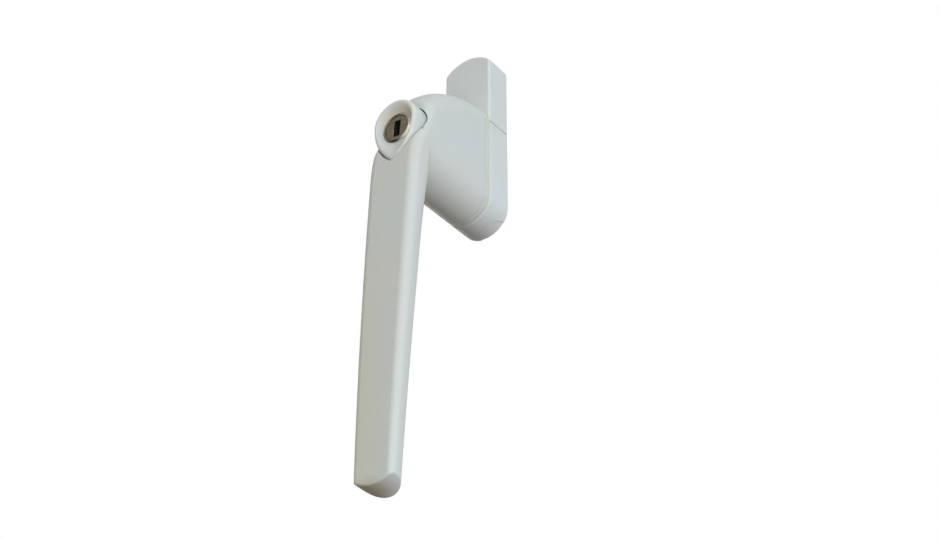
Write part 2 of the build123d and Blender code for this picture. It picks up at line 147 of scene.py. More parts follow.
def raised(tree, base, mask, share):
    # a number that grows by its share where the mask is
    return calc(tree, "ADD", calc(tree, "MULTIPLY", mask, share), base)


def ramp(tree, value, low, high):
    # 0 below low, 1 above high, smooth between; works the other way round too
    node = put(tree, "MapRange", {"interpolation_type": "SMOOTHSTEP"}, Value=value)
    node.inputs["From Min"].default_value = low
    node.inputs["From Max"].default_value = high
    return node.outputs["Result"]


def shaded(color, times):
    return tuple(part * times for part in color)


# light and floor
studio = {
    "windowPlace": (0.98, -0.36, 0.42),
    "windowSize": 1.5,
    "windowPower": 1.65,
    "windowColor": (0.84, 0.96, 1.0),
    "bouncePlace": (0.42, -0.16, -0.36),
    "bounceSize": 0.6,
    "bouncePower": 0.92,
    "bounceColor": (0.98, 0.99, 0.98),
    "fillPlace": (0.24, -1.0, 0.15),
    "fillSize": 0.9,
    "fillPower": 2.55,
    "fillColor": (1.0, 0.93, 0.75),
    "rearPlace": (-0.70, 0.75, 0.35),
    "rearSize": 0.8,
    "rearPower": 3.0,
    "rearColor": (1.0, 0.99, 0.97),
    "brightSide": (0.85, -0.10, 0.52),
    "skyBright": (0.630, 0.685, 0.715),
    "skyDim": (0.10, 0.065, 0.01),
    "skyFade": (-0.75, 0.85),
    "rearSide": (-0.6, 0.8, 0.0),
    "rearFade": (0.2, 0.9),
    "skyRear": (1.10, 1.10, 1.08),
    "paperWhite": (1.0, 1.0, 1.0),
    "floorHeight": -0.62,
    "floorSize": 40.0,
    "floorPale": (0.955, 0.955, 0.95),
    "brightFloor": (0.85, -0.52, 0.0),
    "floorBright": (0.95, 0.95, 0.94),
    "floorDim": (0.06, 0.028, 0.0),
    "floorFade": (0.08, 0.6),
    "floorRoughness": 0.9,
}
noLight = (0, 0, 0)


def softLight(name):
    place = studio[name + "Place"]
    data = bpy.data.lights.new(name + "Light", "AREA")
    data.shape = "DISK"
    data.size = studio[name + "Size"]
    data.energy = studio[name + "Power"]
    data.color = studio[name + "Color"]
    light = bpy.data.objects.new(name + "Light", data)
    light.location = place
    light.visible_camera = False
    light.rotation_euler = (-Vector(place)).to_track_quat("-Z", "Y").to_euler()
    scene.collection.objects.link(light)


def fade(tree, vector, direction, span, dim, bright):
    # dim where the span starts along the direction, bright where it ends
    return blendColor(tree, ramp(tree, along(tree, vector, direction), *span), dim, bright)


def seenOrLit(tree, seen, lit):
    # the camera sees one colour and the object is lit by the other
    return blendColor(tree, put(tree, "LightPath").outputs["Is Camera Ray"], lit, seen)


def setSky():
    world = bpy.data.worlds.new("paleRoom")
    world.use_nodes = True
    tree = world.node_tree
    direction = put(tree, "TexCoord").outputs["Generated"]
    side, span = studio["brightSide"], studio["skyFade"]
    sky = fade(tree, direction, side, span, studio["skyDim"], studio["skyBright"])
    sky = fade(tree, direction, studio["rearSide"], studio["rearFade"], sky, studio["skyRear"])
    feed(tree, tree.nodes["Background"].inputs["Color"], seenOrLit(tree, studio["paperWhite"], sky))
    scene.world = world


def makeFloorPaper():
    paper = bpy.data.materials.new("floorPaper")
    paper.use_nodes = True
    tree = paper.node_tree
    place = put(tree, "TexCoord").outputs["Object"]
    side, span = studio["brightFloor"], studio["floorFade"]
    lit = fade(tree, place, side, span, studio["floorDim"], studio["floorBright"])
    surface = tree.nodes["Principled BSDF"]
    feed(tree, surface.inputs["Base Color"], seenOrLit(tree, noLight, lit))
    feed(tree, surface.inputs["Emission Color"], seenOrLit(tree, studio["floorPale"], noLight))
    surface.inputs["Emission Strength"].default_value = 1.0
    surface.inputs["Specular IOR Level"].default_value = 0.0
    surface.inputs["Roughness"].default_value = studio["floorRoughness"]
    return paper


def layFloor():
    half = studio["floorSize"] / 2
    corners = [(-half, -half), (half, -half), (half, half), (-half, half)]
    mesh = bpy.data.meshes.new("floor")
    mesh.from_pydata([(x, y, studio["floorHeight"]) for x, y in corners], [], [(0, 1, 2, 3)])
    mesh.materials.append(makeFloorPaper())
    floor = bpy.data.objects.new("floor", mesh)
    scene.collection.objects.link(floor)


placeCamera()
for lightName in ("window", "bounce", "fill", "rear"):
    softLight(lightName)
setSky()
layFloor()
print("camera, light and floor are set")


# effects that more than one finish uses

def startGroup(name, inputs, outputs):
    group = bpy.data.node_groups.new(name, "ShaderNodeTree")
    for label, value in inputs.items():
        kind = "NodeSocketVector" if isinstance(value, tuple) else "NodeSocketFloat"
        group.interface.new_socket(label, in_out="INPUT", socket_type=kind).default_value = value
    for label in outputs:
        group.interface.new_socket(label, in_out="OUTPUT", socket_type="NodeSocketFloat")
    return group, group.nodes.new("NodeGroupInput").outputs, group.nodes.new("NodeGroupOutput").inputs


powder = {
    "peel": (1.0, 2.0),  # scale against the peel's own, and detail
    "tooth": (5.0, 1.0),
    "drift": (0.06, 3.0),
    "speck": (0.9, 0.0),
    "driftSpan": (0.3, 0.7),
    "speckSpan": (0.76, 0.82),
}


def makeOrangePeel():
    # a soft peel, a finer tooth, a slow drift of tone and rare specks
    inputs = {"Vector": (0, 0, 0), "Peel Size": 1.1 * mm, "Tooth": 0.3}
    group, given, out = startGroup("orangePeel", inputs, ["Height", "Drift", "Speck"])
    scale = calc(group, "DIVIDE", 1.0, given["Peel Size"])

    def layer(times, detail):
        return noise(group, given["Vector"], calc(group, "MULTIPLY", scale, times), detail)

    tooth = calc(group, "MULTIPLY", layer(*powder["tooth"]), given["Tooth"])
    feed(group, out["Height"], calc(group, "ADD", layer(*powder["peel"]), tooth))
    feed(group, out["Drift"], ramp(group, layer(*powder["drift"]), *powder["driftSpan"]))
    feed(group, out["Speck"], ramp(group, layer(*powder["speck"]), *powder["speckSpan"]))
    return group


handling = {
    "scratchTurn": (0.5, 0.25, 0.7),
    "scratchScale": (900.0, 900.0, 60.0),
    "scratchWaver": 0.4,
    "scratchSpan": (0.70, 0.74),
    "areaScale": 140.0,
    "areaSpan": (0.50, 0.62),
    "rubScale": 75.0,
    "rubDetail": 4.0,
    "rubRoughness": 0.6,
    "rubSpan": (0.35, 0.70),
}


def makeHandlingMarks():
    # faint long scratches and duller, rubbed patches
    inputs = {"Vector": (0, 0, 0), "Amount": 0.5}
    group, given, out = startGroup("handlingMarks", inputs, ["Scratch", "Rub"])
    place = given["Vector"]
    turned = mapped(group, place, Rotation=handling["scratchTurn"], Scale=handling["scratchScale"])
    wavy = noise(group, turned, 1.0, 1.0, Distortion=handling["scratchWaver"])
    lines = ramp(group, wavy, *handling["scratchSpan"])
    rarely = ramp(group, noise(group, place, handling["areaScale"], 1.0), *handling["areaSpan"])
    hit = calc(group, "MULTIPLY", lines, rarely)
    feed(group, out["Scratch"], calc(group, "MULTIPLY", hit, given["Amount"]))
    scale, detail, rough = handling["rubScale"], handling["rubDetail"], handling["rubRoughness"]
    patch = noise(group, place, scale, detail, Roughness=rough)
    feed(group, out["Rub"], ramp(group, patch, *handling["rubSpan"]))
    return group


lathe = {
    "ringDetail": 2.0,
    "streakScale": 9.0,
    "streakDetail": 3.0,
}


def makeTurnedRings():
    # lathe marks round an axis parallel to Y; the vector is centred on the axis
    inputs = {"Vector": (0, 0, 0), "Pitch": 0.3 * mm}
    group, given, out = startGroup("turnedRings", inputs, ["Height", "Radius", "Streak"])
    x, _, z = split(group, given["Vector"])
    squares = calc(group, "ADD", calc(group, "POWER", x, 2.0), calc(group, "POWER", z, 2.0))
    radius = calc(group, "SQRT", squares)
    turns = calc(group, "DIVIDE", radius, given["Pitch"])
    angle = calc(group, "ARCTAN2", x, z)
    line = {"noise_dimensions": "1D"}
    rings = put(group, "TexNoise", line, W=turns, Scale=1.0, Detail=lathe["ringDetail"])
    streaks = put(group, "TexNoise", line, W=angle, Scale=lathe["streakScale"], Detail=lathe["streakDetail"])
    feed(group, out["Height"], rings.outputs[0])
    feed(group, out["Radius"], radius)
    feed(group, out["Streak"], streaks.outputs[0])
    return group


grime = {
    "lineSpan": (1.0, 0.2),
    "raggedScale": 700.0,
    "raggedDetail": 3.0,
    "raggedSpan": (0.25, 0.65),
}


def makeSeamDirt():
    # a thin ragged line of dirt where a plane cuts the surface
    inputs = {"Vector": (0, 0, 0), "Direction": (0, 1, 0), "Offset": 0.0, "Width": 0.3 * mm}
    group, given, out = startGroup("seamDirt", inputs, ["Mask"])
    reach = along(group, given["Vector"], given["Direction"])
    away = calc(group, "ABSOLUTE", calc(group, "SUBTRACT", reach, given["Offset"]))
    near = ramp(group, calc(group, "DIVIDE", away, given["Width"]), *grime["lineSpan"])
    ragged = noise(group, given["Vector"], grime["raggedScale"], grime["raggedDetail"])
    feed(group, out["Mask"], calc(group, "MULTIPLY", near, ramp(group, ragged, *grime["raggedSpan"])))
    return group


smudgeSpan = (1.0, 0.2)


def makeSmudge():
    # one soft mark round a point, longer one way than the other; it carries real marks and painted shade
    # alike
    inputs = {"Vector": (0, 0, 0), "Centre": (0, 0, 0), "Size": (mm, mm, mm)}
    group, given, out = startGroup("smudgeAndShade", inputs, ["Mask"])
    moved = vectorCalc(group, "SUBTRACT", given["Vector"], given["Centre"])
    fitted = vectorCalc(group, "DIVIDE", moved, given["Size"])
    length = put(group, "VectorMath", {"operation": "LENGTH"}, in0=fitted).outputs["Value"]
    feed(group, out["Mask"], ramp(group, length, *smudgeSpan))
    return group


arcLook = {
    "lineSpan": (0.26 * mm, 0.06 * mm),
    "belowSpan": (-2.0 * mm, -4.0 * mm),
}


def makeArcLine():
    # a thin line of painted shade round a circle that lies across Y and the given direction
    inputs = {"Vector": (0, 0, 0), "Centre": (0, 0, 0), "Direction": (1, 0, 0), "Radius": 4.0 * mm}
    group, given, out = startGroup("arcLine", inputs, ["Mask"])
    moved = vectorCalc(group, "SUBTRACT", given["Vector"], given["Centre"])
    reach = along(group, moved, given["Direction"])
    _, y, z = split(group, moved)
    squares = calc(group, "ADD", calc(group, "POWER", reach, 2.0), calc(group, "POWER", y, 2.0))
    away = calc(group, "ABSOLUTE", calc(group, "SUBTRACT", calc(group, "SQRT", squares), given["Radius"]))
    below = ramp(group, z, *arcLook["belowSpan"])
    feed(group, out["Mask"], calc(group, "MULTIPLY", ramp(group, away, *arcLook["lineSpan"]), below))
    return group


orangePeel = makeOrangePeel()
handlingMarks = makeHandlingMarks()
turnedRings = makeTurnedRings()
seamDirt = makeSeamDirt()
smudgeAndShade = makeSmudge()
arcLine = makeArcLine()


def useGroup(tree, group, **inputs):
    node = tree.nodes.new("ShaderNodeGroup")
    node.node_tree = group
    for key, value in inputs.items():
        feed(tree, node.inputs[key.replace("_", " ")], value)
    return node.outputs


def startMaterial(name, centre=(0, 0, 0)):
    # a material, its surface shader, and object coordinates centred on a point
    material = bpy.data.materials.new(name)
    material.use_nodes = True
    tree = material.node_tree
    place = mapped(tree, put(tree, "TexCoord").outputs["Object"], Location=tuple(-c for c in centre))
    return material, tree, tree.nodes["Principled BSDF"], place


def emboss(tree, surface, height, depth, strength=1.0):
    bump = put(tree, "Bump", Height=height, Strength=strength, Distance=depth)
    tree.links.new(bump.outputs[0], surface.inputs["Normal"])


# the white satin coat of lever, base and cover
coat = {
    "leverColor": (0.642, 0.672, 0.684),
    "coverColor": (0.696, 0.735, 0.768),
    "warmTint": (0.672, 0.668, 0.615),
    "scratchColor": (0.46, 0.48, 0.50),
    # dirt and dark joints, also painted shade in the button's pocket and along the scoop's edge
    "dirtAndShadeColor": (0.28, 0.25, 0.21),
    # painted warm shade on the arm's end
    "shadeColor": (0.42, 0.29, 0.10),
    # painted warm reflection on the lower arm
    "warmReflectionColor": (0.655, 0.650, 0.545),
    "driftShare": 0.45,
    "markAmount": 0.35,
    "scratchShare": 0.5,
    "speckShare": 0.06,
    "roughness": 0.54,
    "rubRoughness": 0.12,
    "scratchRoughness": 0.1,
    "peelSize": 1.1 * mm,
    "peelDepth": 0.010 * mm,
}
outward = (0, -1, 0)
upward = (0, 0, 1)
leverSeams = [(outward, 11.62 * mm, 0.26 * mm, 0.8)]  # direction, offset, width, strength
baseSeams = [(upward, 5.30 * mm, 0.12 * mm, 0.7)]
coverSeams = [(upward, 5.50 * mm, 0.12 * mm, 0.7)]
leverMarks = [  # place, size, strength, colour
    (inMm(7.5, -42.0, -17.0), inMm(0.6, 0.9, 0.6), 0.95, "dirtAndShadeColor"),  # a small dark dot beside the button, where its gap ends
    (inMm(8.5, -29.0, -12.4), inMm(0.6, 0.35, 0.8), 0.14, "dirtAndShadeColor"),  # a faint mark on the neck
    (inMm(-4.1, -48.0, -60.6), inMm(0.5, 0.6, 0.3), 0.12, "dirtAndShadeColor"),  # a faint mark on the arm
    (inMm(-3.4, -39.5, -24.5), inMm(3.8, 4.4, 3.8), 0.98, "dirtAndShadeColor"),  # painted shade in the button's pocket
    (inMm(-3.0, -47.0, -127.0), inMm(9.0, 7.0, 4.0), 0.6, "shadeColor"),  # painted warm shade on the arm's end
    (inMm(-9.0, -50.0, -112.0), inMm(15.0, 15.0, 85.0), 0.65, "warmReflectionColor"),  # painted warm reflection on the lower arm
]
# painted shade along the edge of the scoop under the base
scoopEdge = {
    "centre": inMm(0, -0.5, -21.5),
    "turn": math.radians(23.5),
    "radius": 4.2 * mm,
    "strength": 0.22,
}


def coatSeams(tree, place, color, seams):
    for direction, offset, width, strength in seams:
        line = useGroup(tree, seamDirt, Vector=place, Direction=direction, Offset=offset, Width=width)
        color = stainAndLight(tree, color, line["Mask"], strength, coat["dirtAndShadeColor"])
    return color


def coatMarks(tree, place, color, marks):
    for centre, size, strength, overColor in marks:
        mark = useGroup(tree, smudgeAndShade, Vector=place, Centre=centre, Size=size)
        color = stainAndLight(tree, color, mark["Mask"], strength, coat[overColor])
    return color


def coatArc(tree, place, color, edge):
    # a painted shade line round the scoop's edge, turned about Y from straight down
    direction = (math.cos(edge["turn"]), 0, math.sin(edge["turn"]))
    line = useGroup(
        tree, arcLine, Vector=place, Centre=edge["centre"], Direction=direction, Radius=edge["radius"]
    )
    return stainAndLight(tree, color, line["Mask"], edge["strength"], coat["dirtAndShadeColor"])


def makeWhiteCoat(name, color, seams, marks=(), edge=None):
    material, tree, surface, place = startMaterial(name)
    peel = useGroup(tree, orangePeel, Vector=place, Peel_Size=coat["peelSize"])
    wear = useGroup(tree, handlingMarks, Vector=place, Amount=coat["markAmount"])
    color = stainAndLight(tree, color, peel["Drift"], coat["driftShare"], coat["warmTint"])
    color = stainAndLight(tree, color, wear["Scratch"], coat["scratchShare"], coat["scratchColor"])
    color = stainAndLight(tree, color, peel["Speck"], coat["speckShare"], coat["dirtAndShadeColor"])
    color = coatMarks(tree, place, coatSeams(tree, place, color, seams), marks)
    if edge:
        color = coatArc(tree, place, color, edge)
    feed(tree, surface.inputs["Base Color"], color)
    rough = raised(tree, coat["roughness"], wear["Rub"], coat["rubRoughness"])
    rough = raised(tree, rough, wear["Scratch"], coat["scratchRoughness"])
    feed(tree, surface.inputs["Roughness"], rough)
    emboss(tree, surface, peel["Height"], coat["peelDepth"])
    return material


leverCoat = makeWhiteCoat("leverCoat", coat["leverColor"], leverSeams, leverMarks)
baseCoat = makeWhiteCoat("baseCoat", coat["coverColor"], baseSeams, edge=scoopEdge)
coverCoat = makeWhiteCoat("coverCoat", coat["coverColor"], coverSeams)


# plastics
plasticWear = {
    "grain": 0.7 * mm,
    "tooth": 0.6,
    "driftShare": 0.5,
    "markAmount": 0.4,
    "scratchShare": 0.4,
    "scratchDark": 0.7,
    "rubRoughness": 0.1,
}
buttonPlastic = {
    "color": (0.69, 0.72, 0.725),
    "tint": (0.69, 0.695, 0.665),
    "roughness": 0.46,
    "depth": 0.004 * mm,
    "warmShadeColor": (0.73, 0.68, 0.57),  # painted warm shade above the lock
    "glowRadius": 5.2 * mm,
    "glowReach": 1.9 * mm,
    "glowRise": 4.0 * mm,
    "softWeight": 0.6,
    "softRadius": (1.0, 0.9, 0.75),
    "softScale": 2.0 * mm,
}
glidePlastic = {
    "color": (0.67, 0.68, 0.66),
    "tint": (0.64, 0.63, 0.58),
    "roughness": 0.45,
    "depth": 0.008 * mm,
}
bushPlastic = {
    "color": (0.02, 0.02, 0.022),
    "tint": (0.035, 0.035, 0.035),
    "roughness": 0.45,
    "depth": 0.008 * mm,
}


def paintWarmShade(tree, place, color, look):
    # paints warm shade on the plastic close to the axis and above it
    away = useGroup(tree, turnedRings, Vector=place)["Radius"]
    near = ramp(tree, away, look["glowRadius"] + look["glowReach"], look["glowRadius"])
    above = ramp(tree, split(tree, place)[2], 0.0, look["glowRise"])
    return stainAndLight(tree, color, near, above, look["warmShadeColor"])


def makePlastic(name, look, centre=(0, 0, 0)):
    material, tree, surface, place = startMaterial(name, centre)
    grain, tooth = plasticWear["grain"], plasticWear["tooth"]
    peel = useGroup(tree, orangePeel, Vector=place, Peel_Size=grain, Tooth=tooth)
    wear = useGroup(tree, handlingMarks, Vector=place, Amount=plasticWear["markAmount"])
    dark = shaded(look["tint"], plasticWear["scratchDark"])
    color = stainAndLight(tree, look["color"], peel["Drift"], plasticWear["driftShare"], look["tint"])
    color = stainAndLight(tree, color, wear["Scratch"], plasticWear["scratchShare"], dark)
    if "warmShadeColor" in look:
        color = paintWarmShade(tree, place, color, look)
    feed(tree, surface.inputs["Base Color"], color)
    rough = raised(tree, look["roughness"], wear["Rub"], plasticWear["rubRoughness"])
    feed(tree, surface.inputs["Roughness"], rough)
    if "softWeight" in look:
        surface.inputs["Subsurface Weight"].default_value = look["softWeight"]
        surface.inputs["Subsurface Radius"].default_value = look["softRadius"]
        surface.inputs["Subsurface Scale"].default_value = look["softScale"]
    emboss(tree, surface, peel["Height"], look["depth"])
    return material


buttonWhite = makePlastic("buttonWhite", buttonPlastic, lockAxis)
glideCream = makePlastic("glideCream", glidePlastic)
bushBlack = makePlastic("bushBlack", bushPlastic)


# metals
turnedWear = {
    "streakSpan": (0.3, 0.7),
    "markAmount": 0.6,
    "rubShare": 0.4,
    "rubDark": 0.8,
    "ringRoughness": 0.2,
    "rubRoughness": 0.1,
    "depth": 0.010 * mm,
    "strength": 0.6,
}
turnedMetals = {  # colour, dull colour, roughness, axis, pitch of the rings
    "barrelNickel": ((0.44, 0.39, 0.32), (0.34, 0.30, 0.24), 0.36, lockAxis, 0.22 * mm),
    "platedSteel": ((0.58, 0.60, 0.63), (0.50, 0.50, 0.48), 0.35, spindleAxis, 0.3 * mm),
    "lockSteel": ((0.56, 0.58, 0.60), (0.48, 0.48, 0.46), 0.33, lockAxis, 0.3 * mm),
    "springSteel": ((0.42, 0.43, 0.45), (0.34, 0.33, 0.32), 0.30, spindleAxis, 0.6 * mm),
    "darkSteel": ((0.05, 0.05, 0.052), (0.035, 0.033, 0.03), 0.55, lockAxis, 0.3 * mm),
}
sheetWear = {
    "grainScale": (2200.0, 2200.0, 130.0),  # drawn out along Z
    "grainDetail": 3.0,
    "grainRoughness": 0.2,
    "cloudScale": 420.0,
    "cloudDetail": 4.0,
    "cloudSpan": (0.35, 0.65),
    "markAmount": 0.8,
    "scratchShare": 0.5,
    "scratchBright": 1.3,
    "rubRoughness": 0.1,
    "depth": 0.006 * mm,
    "strength": 0.6,
}
sheetMetals = {  # colour, dull colour, roughness
    "sheetSteel": ((0.60, 0.61, 0.63), (0.50, 0.50, 0.48), 0.36),
    "waferBrass": ((0.68, 0.50, 0.22), (0.55, 0.40, 0.20), 0.32),
}


def makeTurnedMetal(name, color, dull, roughness, axis, pitch):
    material, tree, surface, place = startMaterial(name, axis)
    rings = useGroup(tree, turnedRings, Vector=place, Pitch=pitch)
    wear = useGroup(tree, handlingMarks, Vector=place, Amount=turnedWear["markAmount"])
    color = blendColor(tree, ramp(tree, rings["Streak"], *turnedWear["streakSpan"]), color, dull)
    rubbed = shaded(dull, turnedWear["rubDark"])
    color = stainAndLight(tree, color, wear["Rub"], turnedWear["rubShare"], rubbed)
    feed(tree, surface.inputs["Base Color"], color)
    surface.inputs["Metallic"].default_value = 1.0
    ringed = turnedWear["ringRoughness"]
    rough = raised(tree, roughness - ringed / 2, rings["Height"], ringed)
    feed(tree, surface.inputs["Roughness"], raised(tree, rough, wear["Rub"], turnedWear["rubRoughness"]))
    emboss(tree, surface, rings["Height"], turnedWear["depth"], turnedWear["strength"])
    return material


def makeSheetMetal(name, color, dull, roughness):
    # rolled grain, cloudy plating and rubbed patches
    material, tree, surface, place = startMaterial(name)
    grain = noise(tree, mapped(tree, place, Scale=sheetWear["grainScale"]), 1.0, sheetWear["grainDetail"])
    cloud = noise(tree, place, sheetWear["cloudScale"], sheetWear["cloudDetail"])
    wear = useGroup(tree, handlingMarks, Vector=place, Amount=sheetWear["markAmount"])
    bright = shaded(color, sheetWear["scratchBright"])
    color = blendColor(tree, ramp(tree, cloud, *sheetWear["cloudSpan"]), color, dull)
    color = stainAndLight(tree, color, wear["Scratch"], sheetWear["scratchShare"], bright)
    feed(tree, surface.inputs["Base Color"], color)
    surface.inputs["Metallic"].default_value = 1.0
    grained = sheetWear["grainRoughness"]
    rough = raised(tree, roughness - grained / 2, grain, grained)
    feed(tree, surface.inputs["Roughness"], raised(tree, rough, wear["Rub"], sheetWear["rubRoughness"]))
    emboss(tree, surface, grain, sheetWear["depth"], sheetWear["strength"])
    return material


plug = {
    "face": (0.38, 0.33, 0.265),
    "dull": (0.30, 0.26, 0.205),
    "scratch": (0.62, 0.58, 0.52),
    # painted shade on the face round the keyway, then darker painted shade on its walls
    "mouth": (0.02, 0.02, 0.022),
    "hole": (0.012, 0.012, 0.014),
    # a painted highlight along the keyway's left edge
    "sliverHighlight": (0.65, 0.60, 0.52),
    "slotWidth": 2.0 * mm,
    "slotHeight": 5.2 * mm,
    "slotDrop": 0.2 * mm,
    "slotEdge": (0.03 * mm, 0.01 * mm),
    "frontDepth": 44.25 * mm,
    "holeSpan": (0.05 * mm, 0.35 * mm),
    "mouthGrow": 0.12 * mm,
    "mouthTurn": 0.08,
    "mouthShare": 0.93,
    "sliverPlace": inMm(1.26, 0, 1.35),
    "sliverSize": inMm(0.24, 2.5),
    "sliverShare": 0.9,
    "pitch": 0.20 * mm,
    "grainScale": 1800.0,
    "grainDetail": 3.0,
    "grainSpan": (0.35, 0.65),
    "markAmount": 0.8,
    "scratchShare": 0.5,
    "roughness": 0.36,
    "ringRoughness": 0.2,
    "holeRoughness": 0.4,
    "depth": 0.008 * mm,
    "strength": 0.6,
}


def slotMask(tree, vector, width, height):
    # 1 inside an upright slot in the middle of the vector's XZ plane
    x, _, z = split(tree, vector)
    outer, inner = plug["slotEdge"]
    sides = ramp(tree, calc(tree, "ABSOLUTE", x), width / 2 + outer, width / 2 + inner)
    ends = ramp(tree, calc(tree, "ABSOLUTE", z), height / 2 + outer, height / 2 + inner)
    return calc(tree, "MULTIPLY", sides, ends)


def slotHole(tree, middle):
    # 1 on the keyway's walls, a little way in from the face, where painted shade goes
    slot = slotMask(tree, middle, plug["slotWidth"], plug["slotHeight"])
    start, end = (depth - plug["frontDepth"] for depth in plug["holeSpan"])
    return calc(tree, "MULTIPLY", slot, ramp(tree, split(tree, middle)[1], start, end))


def paintMouth(tree, middle, color):
    # painted shade widens the keyway's opening and leans a little, and a painted highlight lies along one
    # side of it
    turned = mapped(tree, middle, Rotation=(0, -plug["mouthTurn"], 0))
    wider = 2 * plug["mouthGrow"]
    mouth = slotMask(tree, turned, plug["slotWidth"] + wider, plug["slotHeight"] + wider)
    bright = slotMask(tree, mapped(tree, turned, Location=plug["sliverPlace"]), *plug["sliverSize"])
    color = stainAndLight(tree, color, bright, plug["sliverShare"], plug["sliverHighlight"])
    return stainAndLight(tree, color, mouth, plug["mouthShare"], plug["mouth"])


def makePlugNickel():
    # satin nickel, with painted shade inside the keyway
    material, tree, surface, place = startMaterial("plugNickel", lockAxis)
    rings = useGroup(tree, turnedRings, Vector=place, Pitch=plug["pitch"])
    wear = useGroup(tree, handlingMarks, Vector=place, Amount=plug["markAmount"])
    grain = noise(tree, place, plug["grainScale"], plug["grainDetail"])
    middle = mapped(tree, place, Location=(0, 0, plug["slotDrop"]))
    hole = slotHole(tree, middle)
    color = blendColor(tree, ramp(tree, grain, *plug["grainSpan"]), plug["face"], plug["dull"])
    color = stainAndLight(tree, color, wear["Scratch"], plug["scratchShare"], plug["scratch"])
    color = paintMouth(tree, middle, color)
    feed(tree, surface.inputs["Base Color"], blendColor(tree, hole, color, plug["hole"]))
    feed(tree, surface.inputs["Metallic"], calc(tree, "SUBTRACT", 1.0, hole))
    rough = raised(tree, plug["roughness"], rings["Height"], plug["ringRoughness"])
    feed(tree, surface.inputs["Roughness"], raised(tree, rough, hole, plug["holeRoughness"]))
    emboss(tree, surface, calc(tree, "ADD", rings["Height"], grain), plug["depth"], plug["strength"])
    return material


rim = {
    "bright": (0.78, 0.75, 0.69),
    "streak": (0.55, 0.51, 0.45),
    # painted shade for the ring's left side
    "dull": (0.26, 0.225, 0.175),
    "brass": (0.80, 0.50, 0.22),
    "streakSpan": (0.35, 0.65),
    "leftShadeSpan": (1.5 * mm, -2.0 * mm),
    "wornSide": (0.55, 0.0, -0.83),
    "wornSpan": (4.2 * mm, 4.7 * mm),
    "patchScale": 1100.0,
    "patchDetail": 3.0,
    "patchSpan": (0.45, 0.65),
    "pitch": 0.15 * mm,
    "roughness": 0.10,
    "patchRoughness": 0.2,
    "depth": 0.006 * mm,
    "strength": 0.5,
}


def makeRimNickel():
    # brighter nickel with painted shade over its left side, worn through to brass low on its right
    material, tree, surface, place = startMaterial("rimNickel", lockAxis)
    rings = useGroup(tree, turnedRings, Vector=place, Pitch=rim["pitch"])
    patchy = noise(tree, place, rim["patchScale"], rim["patchDetail"])
    low = ramp(tree, along(tree, place, rim["wornSide"]), *rim["wornSpan"])
    worn = calc(tree, "MULTIPLY", low, ramp(tree, patchy, *rim["patchSpan"]))
    # the left side gets painted shade
    left = ramp(tree, split(tree, place)[0], *rim["leftShadeSpan"])
    color = blendColor(tree, ramp(tree, rings["Streak"], *rim["streakSpan"]), rim["bright"], rim["streak"])
    color = blendColor(tree, left, color, rim["dull"])
    feed(tree, surface.inputs["Base Color"], blendColor(tree, worn, color, rim["brass"]))
    surface.inputs["Metallic"].default_value = 1.0
    feed(tree, surface.inputs["Roughness"], raised(tree, rim["roughness"], patchy, rim["patchRoughness"]))
    emboss(tree, surface, rings["Height"], rim["depth"], rim["strength"])
    return material


plugNickel = makePlugNickel()
rimNickel = makeRimNickel()
metals = {name: makeTurnedMetal(name, *look) for name, look in turnedMetals.items()}
for name, look in sheetMetals.items():
    metals[name] = makeSheetMetal(name, *look)
springSteel = metals["springSteel"]
waferBrass = metals["waferBrass"]

finishes = {
    "base_plate": baseCoat,
    "screw_cover": coverCoat,
    "lever": leverCoat,
    "push_button": buttonWhite,
    "glide_plate": glideCream,
    "bearing_bush": bushBlack,
    "lock_barrel": metals["barrelNickel"],
    "key_plug": plugNickel,
    "return_spring": springSteel,
    "detent_springs": springSteel,
    "circlip": springSteel,
    "lock_bolt": metals["lockSteel"],
    "locking_pin": metals["lockSteel"],
    "lock_cam": metals["lockSteel"],
    "cam_screw": metals["darkSteel"],
    "back_plate": metals["sheetSteel"],
    "keeper_plate": metals["sheetSteel"],
}
for name, node in nodes.items():
    node.data.materials.clear()
    node.data.materials.append(finishes.get(name, metals["platedSteel"]))
print("finishes are on", len(nodes), "nodes")


# pieces made here

def addPiece(name, mesh, material, body, slot, *replaced):
    mesh.materials.clear()
    mesh.materials.append(material)
    piece = bpy.data.objects.new(name, mesh)
    scene.collection.objects.link(piece)
    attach(piece, body)
    if replaced:
        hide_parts(*replaced)
    return piece


def meshFromRings(name, rings):
    # closed bands between rings of points, joined round from the last ring to the first
    count = len(rings[0])
    verts = [point for ring in rings for point in ring]
    faces = []
    for index in range(len(rings)):
        here = index * count
        after = (index + 1) % len(rings) * count
        for step in range(count):
            following = (step + 1) % count
            faces.append((here + step, here + following, after + following, after + step))
    mesh = bpy.data.meshes.new(name)
    mesh.from_pydata(verts, [], faces)
    builder = bmesh.new()
    builder.from_mesh(mesh)
    bmesh.ops.recalc_face_normals(builder, faces=builder.faces)
    builder.to_mesh(mesh)
    builder.free()
    mesh.shade_smooth()
    return mesh


button = {  # millimetres and degrees; the front is measured from the wall
    "width": 14.8,
    "rise": 1.4,
    "sideRadius": 16.5,
    "chinRadius": 1.4,
    "front": 45.9,
    "length": 8.0,
    "lipRound": 0.9,
    "rearEdge": 0.2,
    "dishRadius": 5.25,
    "dishDepth": 1.65,
    "dishCone": 0.25,  # how much of the fall is straight, the rest is curved
    "bore": 4.95,
    "lipSteps": 8,
    "dishSteps": 14,
    "arcSteps": (56, 34, 16, 34),  # top, left, chin, right
    "circleAngles": (0, 180, 255, 285, 360),
}


def arcPoints(centre, radius, start, end, steps):
    turns = [math.radians(start + (end - start) * step / steps) for step in range(steps)]
    return [(centre[0] + radius * math.cos(a), centre[1] + radius * math.sin(a)) for a in turns]


